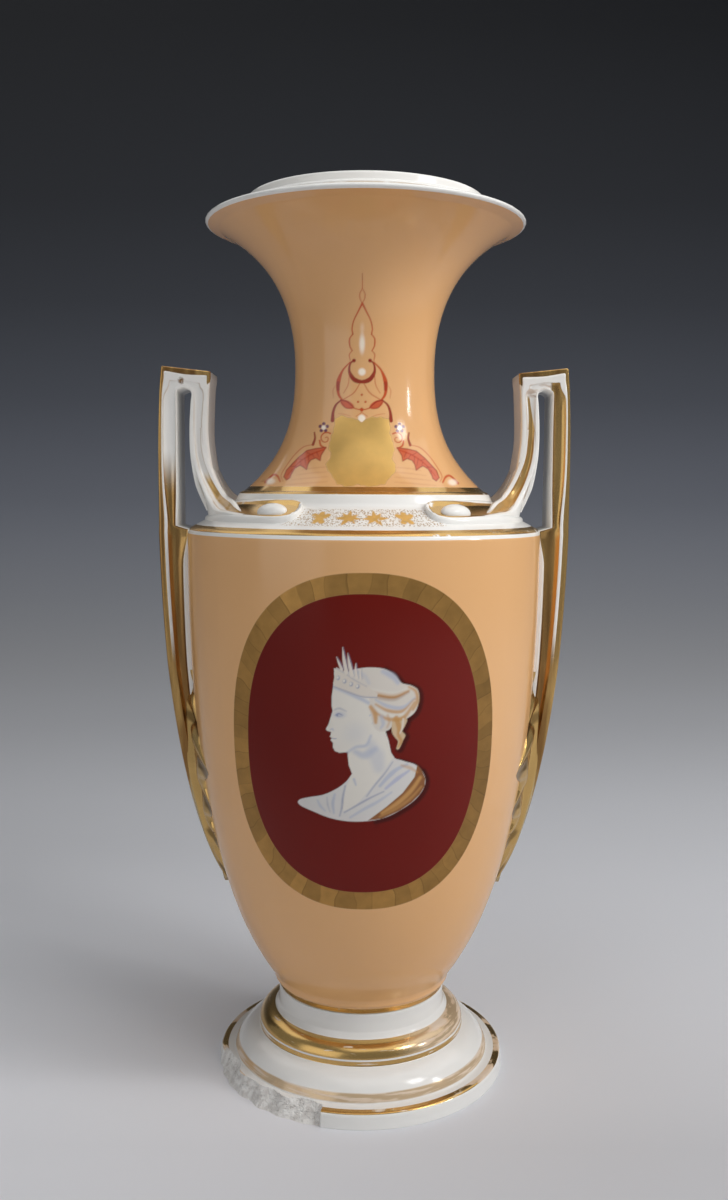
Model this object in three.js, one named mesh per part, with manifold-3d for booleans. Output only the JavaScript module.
// A two-handled porcelain vase on a pedestal foot, in millimetres, +Z up.
// The origin is the middle of the foot's underside. The painted front looks along -Y,
// and the two strap handles stand out along +X and -X.
import * as THREE from 'three';
import { mergeVertices } from 'three/addons/utils/BufferGeometryUtils.js';
import Module from 'manifold-3d';

const wasm = await Module();
wasm.setup();

// Heights, stacked from the table up
const footHeight = 47.2;
const seamGap = 0.3;
const bellyHeight = 266.5;
const shoulderRise = 24.2;
const neckHeight = 149;
const collarRise = 12.8;
const plinthHeight = 9.2;

// Radii
const footRadius = 84.4;
const footTopRadius = 48.9;
const torusRadius = 60.4;
const beadRadius = 51.9;
const bellyRadius = 100.9;
const ledgeRadius = 72;
const neckBaseRadius = 65.9;
const waistRadius = 39.7;
const lipRadius = 89.7;
const collarRadius = 66.9;

// Porcelain thicknesses
const wall = 5;
const bodyFloor = 8;
const footWall = 6.5;
const collarWall = 4.6;

// Handles: a flat strap bent into a narrow upside-down U, with a fluted front and back
const handleStandoff = 15.2;
const handleDepth = 30;
const outerBranch = 10.8;
const slotWidth = 7.2;
const innerBranch = 10.6;
const handleTop = 91;
const handleTopSlant = 3.2;
const topBar = 12;
const leafLength = 206;
const leafSpread = 36;
const fluteDepth = 1.6;
const fluteMargin = 3;

// Scroll arms on the shoulder, each with an oval boss in a sunk panel
const armInner = 73.5;
const armOuter = 90;
const armTipAngle = 25.5;
const armRootAngle = 95;
const armHeight = 3.2;
const armRootHeight = 9;
const panelDepth = 1.8;
const panelMargin = 2.4;
const bossAngle = 33.5;
const bossLength = 17.5;
const bossWidth = 11;
const bossHeight = 3.4;

// The break in the plinth's edge, by angle from the front towards -X
const breakStart = 15.5;
const breakEnd = 84;
const breakFootLoss = 1.6;
const breakTopLoss = 7.6;

// How far a piece that is luted on reaches into the wall
const luting = 0.6 * wall;
const segments = 36;

const bodyBase = footHeight + seamGap;
const shoulderZ = bodyBase + bellyHeight;
const ledgeZ = shoulderZ + shoulderRise;
const rimZ = ledgeZ + neckHeight;
const topZ = rimZ + collarRise;
const degrees = Math.PI / 180;

const v2 = (r, z) => new THREE.Vector2(r, z);

// Points of a cubic Bezier curve through p0 and p3
function bezier(p0, p1, p2, p3, divisions) {
  return new THREE.CubicBezierCurve(p0, p1, p2, p3).getPoints(divisions);
}

// A line of points moved sideways by a distance; positive is to the right of its direction
function offset(points, distance) {
  return points.map((point, i) => {
    const before = points[Math.max(i - 1, 0)];
    const after = points[Math.min(i + 1, points.length - 1)];
    const along = after.clone().sub(before).normalize();
    return v2(point.x + along.y * distance, point.y - along.x * distance);
  });
}

// The body's outside, in three sweeps
const bellyFoot = v2(beadRadius + 3, bodyBase + 12.5);
const bellyCurve = bezier(
  bellyFoot,
  v2(bellyRadius - 9.1, bodyBase + 65.3),
  v2(bellyRadius, shoulderZ - 102.4),
  v2(bellyRadius, shoulderZ - 6),
  9
);
const shoulderCurve = [v2(bellyRadius - 2.4, shoulderZ + 3.9), v2(ledgeRadius + 2.2, ledgeZ - 7.4)];
const waistZ = ledgeZ + 0.464 * neckHeight;
const neckStart = v2(neckBaseRadius, ledgeZ + 2.6);
const flareEnd = v2(lipRadius - 7.7, rimZ - 3.6);
const lowerNeck = bezier(
  neckStart,
  v2(waistRadius + 4.3, ledgeZ + 0.151 * neckHeight),
  v2(waistRadius, waistZ - 0.172 * neckHeight),
  v2(waistRadius, waistZ),
  6
);
const upperNeck = bezier(
  v2(waistRadius, waistZ),
  v2(waistRadius, waistZ + 0.261 * neckHeight),
  v2(waistRadius + 16.3, rimZ - 18),
  flareEnd,
  7
);

// Outside radius of the belly at a height, read from its curve
function bellyAt(z) {
  const i = bellyCurve.findIndex((point) => point.y >= z);
  if (i < 0) return bellyRadius;
  if (i === 0) return bellyCurve[0].x;
  const low = bellyCurve[i - 1];
  const high = bellyCurve[i];
  return low.x + ((high.x - low.x) * (z - low.y)) / (high.y - low.y);
}

// Height of the sloping shoulder at a radius
function shoulderAt(r) {
  const [low, high] = shoulderCurve;
  return low.y + ((high.y - low.y) * (low.x - r)) / (low.x - high.x);
}

const outside = [
  v2(0, bodyBase),
  v2(footTopRadius, bodyBase),
  v2(beadRadius - 1.6, bodyBase + 3.7),
  v2(beadRadius - 0.1, bodyBase + 5.2),
  v2(beadRadius, bodyBase + 7),
  v2(beadRadius + 0.8, bodyBase + 9.2),
  ...bellyCurve,
  v2(bellyRadius - 0.2, shoulderZ),
  v2(bellyRadius - 0.8, shoulderZ + 2.4),
  ...shoulderCurve,
  v2(ledgeRadius + 0.4, ledgeZ - 5.8),
  v2(ledgeRadius, ledgeZ - 2.6),
  v2(ledgeRadius - 0.8, ledgeZ - 0.7),
  v2(neckBaseRadius + 2.8, ledgeZ + 0.2),
  ...lowerNeck,
  ...upperNeck.slice(1),
  v2(lipRadius - 1.1, rimZ - 1.6),
  v2(lipRadius - 0.1, rimZ - 0.8),
  v2(lipRadius, rimZ + 0.1),
  v2(lipRadius - 0.9, rimZ + 0.9),
  v2(collarRadius + 2.6, topZ - 6.8),
  v2(collarRadius + 2.3, topZ - 5.4),
  v2(collarRadius + 0.5, topZ - 4.8),
  v2(collarRadius, topZ - 1),
  v2(collarRadius - 0.9, topZ),
];

// Every other point of a line, counted and listed from its end
function everyOther(points) {
  return points.filter((point, i) => (points.length - 1 - i) % 2 === 0).reverse();
}

// The inside is the same sweeps, one wall further in, closed by the floor
const mouth = collarRadius - collarWall;
const inside = [
  v2(mouth, topZ),
  v2(mouth - 0.6, topZ - 1),
  v2(mouth - 0.6, rimZ + 1.4),
  ...everyOther(offset(upperNeck, -wall).slice(0, -1)),
  ...everyOther(offset(lowerNeck, -wall).slice(0, -1)),
  ...offset(shoulderCurve, -wall).reverse(),
  ...everyOther(offset(bellyCurve, -wall)),
  v2(beadRadius - 13, bodyBase + bodyFloor + 1),
  v2(0, bodyBase + bodyFloor),
];

// A profile of radii and heights turned about the Z axis
function turned(profile) {
  return new THREE.LatheGeometry(profile, segments).rotateX(Math.PI / 2);
}

// A closed mesh as a solid for joining and cutting, its faces turned outwards
function solid(geometry) {
  geometry.deleteAttribute('normal');
  geometry.deleteAttribute('uv');
  const merged = mergeVertices(geometry, 1e-4);
  const index = merged.index.array;
  const position = merged.attributes.position;
  const triangles = [];
  let volume = 0;
  for (let i = 0; i < index.length; i += 3) {
    const [a, b, c] = [index[i], index[i + 1], index[i + 2]];
    if (a === b || b === c || c === a) continue;
    triangles.push(a, b, c);
    const [p, q, s] = [a, b, c].map((k) => new THREE.Vector3().fromBufferAttribute(position, k));
    volume += p.dot(q.cross(s));
  }
  if (volume < 0) triangles.reverse();
  return new wasm.Manifold(new wasm.Mesh({
    numProp: 3,
    vertProperties: new Float32Array(position.array),
    triVerts: new Uint32Array(triangles),
  }));
}

// Rings of the same number of points, joined one after another and closed by end faces
function loft(rings) {
  const count = rings[0].length;
  const positions = rings.flat().flatMap((point) => [point.x, point.y, point.z]);
  const faces = [];
  for (let i = 0; i + 1 < rings.length; i += 1) {
    for (let j = 0; j < count; j += 1) {
      const next = (j + 1) % count;
      const [a, b] = [i * count + j, i * count + next];
      faces.push(a, b, b + count, a, b + count, a + count);
    }
  }
  const last = (rings.length - 1) * count;
  for (let j = 1; j + 1 < count; j += 1) {
    faces.push(0, j + 1, j, last, last + j, last + j + 1);
  }
  const geometry = new THREE.BufferGeometry();
  geometry.setAttribute('position', new THREE.Float32BufferAttribute(positions, 3));
  geometry.setIndex(faces);
  return solid(geometry);
}

// An outline in X and Z, given its thickness along Y about y = middle
function slab(shape, thickness, middle = 0) {
  const geometry = new THREE.ExtrudeGeometry(shape, { depth: thickness, bevelEnabled: false, curveSegments: 6 });
  return solid(geometry.rotateX(Math.PI / 2).translate(0, middle + thickness / 2, 0));
}

// A point by angle from the front (-Y) towards +X, radius and height
function polar(angle, r, z) {
  return new THREE.Vector3(r * Math.sin(angle), -r * Math.cos(angle), z);
}

// Handle: outer edge, which stands off the belly and thins to the leaf's tip
const tipZ = shoulderZ - leafLength;
function handleOuterAt(z) {
  const down = Math.min(Math.max((shoulderZ - z) / leafLength, 0), 1);
  return bellyAt(z) + handleStandoff * (1 - 0.42 * down) * Math.sqrt(1 - down ** 6);
}

const outerX = bellyRadius + handleStandoff;
const slotOuterX = outerX - outerBranch;
const slotInnerX = slotOuterX - slotWidth;
const neckSideX = slotInnerX - innerBranch;
const strapEndZ = shoulderZ - 0.44 * leafLength;
const topInnerZ = shoulderZ + handleTop;
const topOuterZ = topInnerZ + handleTopSlant;

// Outer edge from the strap's end up to the top corner, then across and down the neck side
const outerEdge = [];
for (let z = strapEndZ; z < shoulderZ + 1; z += 16) {
  outerEdge.push(v2(handleOuterAt(z), z));
}
outerEdge.push(...new THREE.SplineCurve([
  v2(outerX, shoulderZ + 8),
  v2(outerX, shoulderZ + 40),
  v2(outerX - 0.6, shoulderZ + 66),
  v2(outerX - 2.2, topOuterZ),
]).getPoints(4));
const neckSide = new THREE.SplineCurve([
  v2(neckSideX - 1.7, topInnerZ),
  v2(neckSideX - 0.4, topInnerZ - 20),
  v2(neckSideX - 1.2, topInnerZ - 46),
  v2(neckSideX - 4.2, topInnerZ - 61),
  v2(neckSideX - 9.2, shoulderZ + 21),
  v2(ledgeRadius + 1.5, shoulderZ + 15),
]).getPoints(7);
const slotEdge = [
  ...new THREE.SplineCurve([
    v2(armOuter - 4, shoulderAt(armOuter - 4) + 2),
    v2(slotInnerX - 8.2, shoulderZ + 15.6),
    v2(slotInnerX - 2.6, shoulderZ + 29.7),
    v2(slotInnerX - 0.1, shoulderZ + 48),
    v2(slotInnerX, shoulderZ + 62),
    v2(slotInnerX - 1.2, topInnerZ - topBar - 3),
  ]).getPoints(6),
  v2(slotInnerX + 0.4, topInnerZ - topBar + 1),
  v2(slotOuterX - 1.6, topInnerZ - topBar + 1),
  v2(slotOuterX, topInnerZ - topBar - 3),
  v2(slotOuterX, shoulderZ + 2),
];

function handleStrap() {
  const wallSide = [];
  for (let z = shoulderZ - 4; z > strapEndZ; z -= 24) {
    wallSide.push(v2(bellyAt(z) - luting, z));
  }
  const underShoulder = offset(shoulderCurve, -luting);
  const outline = [
    ...outerEdge,
    ...neckSide,
    v2(ledgeRadius + 1.5, shoulderAt(ledgeRadius + 1.5) - luting),
    underShoulder[0],
    ...wallSide,
    v2(bellyAt(strapEndZ) - luting, strapEndZ),
  ];
  const shape = new THREE.Shape(outline);
  shape.holes.push(new THREE.Path([...slotEdge, v2(bellyRadius + 0.4, shoulderZ + 0.5), shoulderCurve[0]]));
  return slab(shape, handleDepth);
}

// The flute follows the strap up one branch, over the slot and down the other
function handleFlute(side) {
  const outerLine = offset(outerEdge, -fluteMargin - 0.6).filter((point) => point.y < topInnerZ - fluteMargin);
  const topLine = [
    v2(outerX - 2.2 - fluteMargin, topOuterZ - 9),
    v2(neckSideX + fluteMargin, topInnerZ - 9),
  ];
  const neckLine = offset(neckSide, -fluteMargin).filter((point) => {
    return point.y < topInnerZ - 10 && point.y > shoulderZ + 24;
  });
  const slotLine = offset(slotEdge, -fluteMargin + 0.6).filter((point) => point.y > shoulderZ + 22);
  const innerLine = [];
  for (let z = shoulderZ; z > strapEndZ; z -= 16) {
    innerLine.push(v2(bellyAt(z) + 0.38 * (handleOuterAt(z) - bellyAt(z)), z));
  }
  const shape = new THREE.Shape([
    ...outerLine.filter((point) => point.y < topOuterZ - 9),
    ...topLine,
    ...neckLine,
    ...slotLine,
    v2(slotOuterX + fluteMargin - 0.6, shoulderZ + 12),
    ...innerLine,
  ]);
  return slab(shape, 2 * fluteDepth, (side * handleDepth) / 2);
}

// The strap's lower end opens into a lobed leaf that lies on the belly
function leafHalfWidth(down) {
  const grow = THREE.MathUtils.smoothstep(down, 0.42, 0.645);
  const taper = Math.sqrt(Math.max(1 - ((down - 0.645) / 0.357) ** 1.5, 0));
  const lobes = 0.22 * ((((down - 0.645) / 0.118) % 1) + 1) * 0.5;
  const width = handleDepth / 2 + (leafSpread - handleDepth / 2) * grow;
  return down <= 0.645 ? width : leafSpread * taper * (0.68 + lobes);
}

function leaf() {
  const rings = [];
  for (const down of [0.4, 0.48, 0.56, 0.62, 0.645, 0.665, 0.71, 0.76, 0.785, 0.83, 0.875, 0.9, 0.95, 0.985, 1]) {
    const z = shoulderZ - leafLength * down;
    const belly = bellyAt(z);
    const half = Math.max(leafHalfWidth(down), 0.8);
    const edge = half / belly;
    const crest = Math.min(handleDepth / 2 / belly, 0.62 * edge, (0.5 * handleDepth * (1.06 - down)) / 0.42 / belly);
    const rise = Math.max(handleOuterAt(z) - belly, 0.8);
    const section = [
      [-edge, -luting],
      [edge, -luting],
      [edge, 0.8],
      [Math.min(crest * 1.25, 0.5 * (crest + edge)), 0.3 * rise + 0.8],
      [crest, rise],
      [-crest, rise],
      [-Math.min(crest * 1.25, 0.5 * (crest + edge)), 0.3 * rise + 0.8],
      [-edge, 0.8],
    ];
    rings.push(section.map(([angle, height]) => polar(Math.PI / 2 + angle, belly + height, z)));
  }
  return loft(rings);
}

// A band along the shoulder from one angle to another, oval at its tip
function band(inner, outer, from, to, bottom, top) {
  const rings = [];
  const steps = 7;
  for (let i = 0; i <= steps; i += 1) {
    const share = i / steps;
    const angle = (from + (to - from) * share ** 1.4) * degrees;
    const tip = Math.sqrt(Math.min(1 - (1 - Math.min(share * 2.2, 1)) ** 2 + 0.03, 1));
    const middle = (inner + outer) / 2;
    const half = ((outer - inner) / 2) * tip;
    const section = [
      [middle - half, bottom],
      [middle + half, bottom],
      [middle + half, top(share) * 0.55],
      [middle + 0.86 * half, top(share)],
      [middle - 0.86 * half, top(share)],
      [middle - half, top(share) * 0.55],
    ];
    rings.push(section.map(([r, height]) => polar(angle, r, shoulderAt(r) + height)));
  }
  return loft(rings);
}

function arm() {
  const rise = (share) => armHeight + (armRootHeight - armHeight) * THREE.MathUtils.smoothstep(share, 0.6, 1);
  const rim = band(armInner, armOuter, armTipAngle, armRootAngle, -luting, rise);
  const sunk = band(
    armInner + panelMargin,
    armOuter - panelMargin,
    armTipAngle + 2,
    72,
    armHeight - panelDepth,
    () => armRootHeight + 6
  );
  const middle = (armInner + armOuter) / 2;
  const boss = new THREE.SphereGeometry(1, 10, 5)
    .scale(bossLength / 2, bossWidth / 2, bossHeight)
    .rotateX(Math.atan2(shoulderCurve[1].y - shoulderCurve[0].y, shoulderCurve[0].x - shoulderCurve[1].x))
    .rotateZ(bossAngle * degrees);
  const place = polar(bossAngle * degrees, middle + 0.6, shoulderAt(middle + 0.6) + armHeight - panelDepth);
  return rim.subtract(sunk).add(solid(boss.translate(place.x, place.y, place.z)));
}

// One whole handle on the +X side, the same at the front and the back
function handle() {
  const fluted = handleStrap().subtract(handleFlute(1)).subtract(handleFlute(-1));
  const front = arm();
  return fluted.add(leaf()).add(front).add(front.mirror([0, 1, 0]));
}

function vaseBody() {
  const right = handle();
  return solid(turned([...outside, ...inside])).add(right).add(right.mirror([1, 0, 0]));
}

// Foot: plinth, ogee, torus and collar outside, one wall thick and open below
function footProfile() {
  const ogee = bezier(
    v2(footRadius - 9.2, plinthHeight + 0.4),
    v2(footRadius - 10.9, plinthHeight + 5.3),
    v2(footRadius - 15.4, plinthHeight + 11.3),
    v2(torusRadius + 0.8, plinthHeight + 13.4),
    6
  );
  const torusTop = footHeight - 13.5;
  const torus = bezier(
    v2(torusRadius, torusTop - 7.3),
    v2(torusRadius - 0.4, torusTop - 3.7),
    v2(torusRadius - 3.9, torusTop - 0.3),
    v2(footTopRadius + 2.5, torusTop),
    4
  );
  return [
    v2(footRadius, 0),
    v2(footRadius - 0.7, plinthHeight - 1.8),
    v2(footRadius - 1.6, plinthHeight - 0.5),
    v2(footRadius - 7.8, plinthHeight),
    ...ogee,
    v2(torusRadius + 0.1, plinthHeight + 13.8),
    ...torus,
    v2(footTopRadius + 1.8, torusTop + 0.5),
    v2(footTopRadius + 0.3, torusTop + 3.3),
    v2(footTopRadius - 0.1, torusTop + 8.5),
    v2(footTopRadius, footHeight),
    v2(0, footHeight),
    v2(0, footHeight - footWall),
    v2(footTopRadius - footWall, footHeight - footWall),
    v2(footTopRadius - footWall + 2, torusTop - 4),
    v2(torusRadius - footWall, torusTop - 12),
    v2(footRadius - footWall - 9, plinthHeight - 3),
    v2(footRadius - footWall - 1, 0),
    v2(footRadius, 0),
  ];
}

// What broke away from the plinth's edge: deeper at the top than at the table
function breakage() {
  const rings = [];
  const steps = 16;
  for (let i = 0; i <= steps; i += 1) {
    const share = i / steps;
    const angle = -(breakStart + (breakEnd - breakStart) * share) * degrees;
    const chord = 0.25 + 0.75 * Math.sin(Math.PI * Math.min(share * 1.15 + 0.12, 1));
    const rough = 1 + 0.16 * Math.sin(23 * share) + 0.1 * Math.sin(51 * share + 1);
    const low = footRadius - breakFootLoss * chord * rough;
    const high = footRadius - breakTopLoss * chord * rough;
    const outer = footRadius + 6;
    const top = plinthHeight + 6;
    const lean = (high - low) / plinthHeight;
    rings.push([
      polar(angle, low - lean, -1),
      polar(angle, outer, -1),
      polar(angle, outer, top),
      polar(angle, high + lean * (top - plinthHeight), top),
    ]);
  }
  return loft(rings);
}

function pedestalFoot() {
  return solid(turned(footProfile())).subtract(breakage());
}

// A finished solid as a named mesh
function piece(name, manifold, material) {
  const { vertProperties, triVerts, numProp } = manifold.getMesh();
  const positions = [];
  for (let i = 0; i < vertProperties.length; i += numProp) {
    positions.push(vertProperties[i], vertProperties[i + 1], vertProperties[i + 2]);
  }
  const geometry = new THREE.BufferGeometry();
  geometry.setAttribute('position', new THREE.Float32BufferAttribute(positions, 3));
  geometry.setIndex(Array.from(triVerts));
  geometry.computeVertexNormals();
  const mesh = new THREE.Mesh(geometry, material);
  mesh.name = name;
  return mesh;
}

const peachGlaze = new THREE.MeshStandardMaterial({ color: 0xdeb286, roughness: 0.12, metalness: 0 });
const whiteGlaze = new THREE.MeshStandardMaterial({ color: 0xebe8e2, roughness: 0.1, metalness: 0 });

const group = new THREE.Group();
group.add(piece('vase_body', vaseBody(), peachGlaze));
group.add(piece('foot', pedestalFoot(), whiteGlaze));

export default group;
